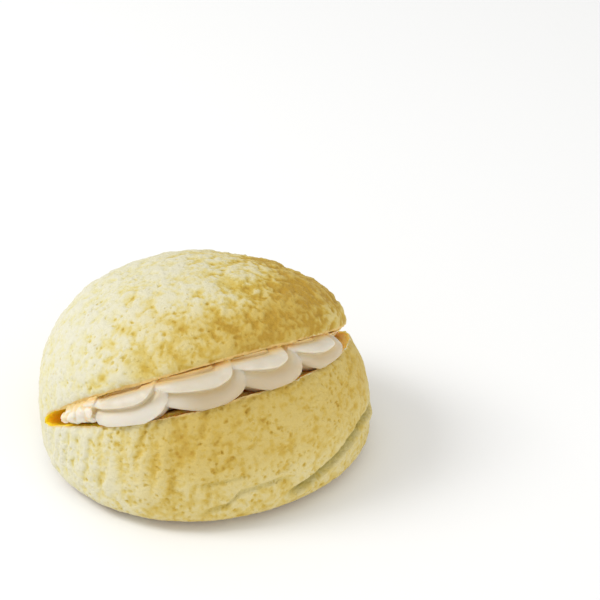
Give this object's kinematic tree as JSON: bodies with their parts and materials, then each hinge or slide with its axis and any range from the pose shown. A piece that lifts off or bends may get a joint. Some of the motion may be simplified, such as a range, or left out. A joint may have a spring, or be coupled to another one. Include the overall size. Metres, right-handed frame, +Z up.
{
  "type": "cream-filled melon pan bun",
  "caption": "Round sweet bun with a pitted pale biscuit crust, slit open across the front and filled with piped whipped cream.",
  "frame": {"origin": "middle of the bun's box at the flat underside it rests on", "axes": "+Z up, -Y out of the open mouth of the slit, +X to the bun's side where the shells of cream curl up"},
  "size_m": [0.1062, 0.106, 0.063],
  "materials": {
    "crust": "matte pale yellow biscuit crust over bread crumb",
    "cream": "soft satin whipped cream"
  },
  "bodies": {
    "root": {"bun": "crust", "cream": "cream"}
  },
  "joints": []
}
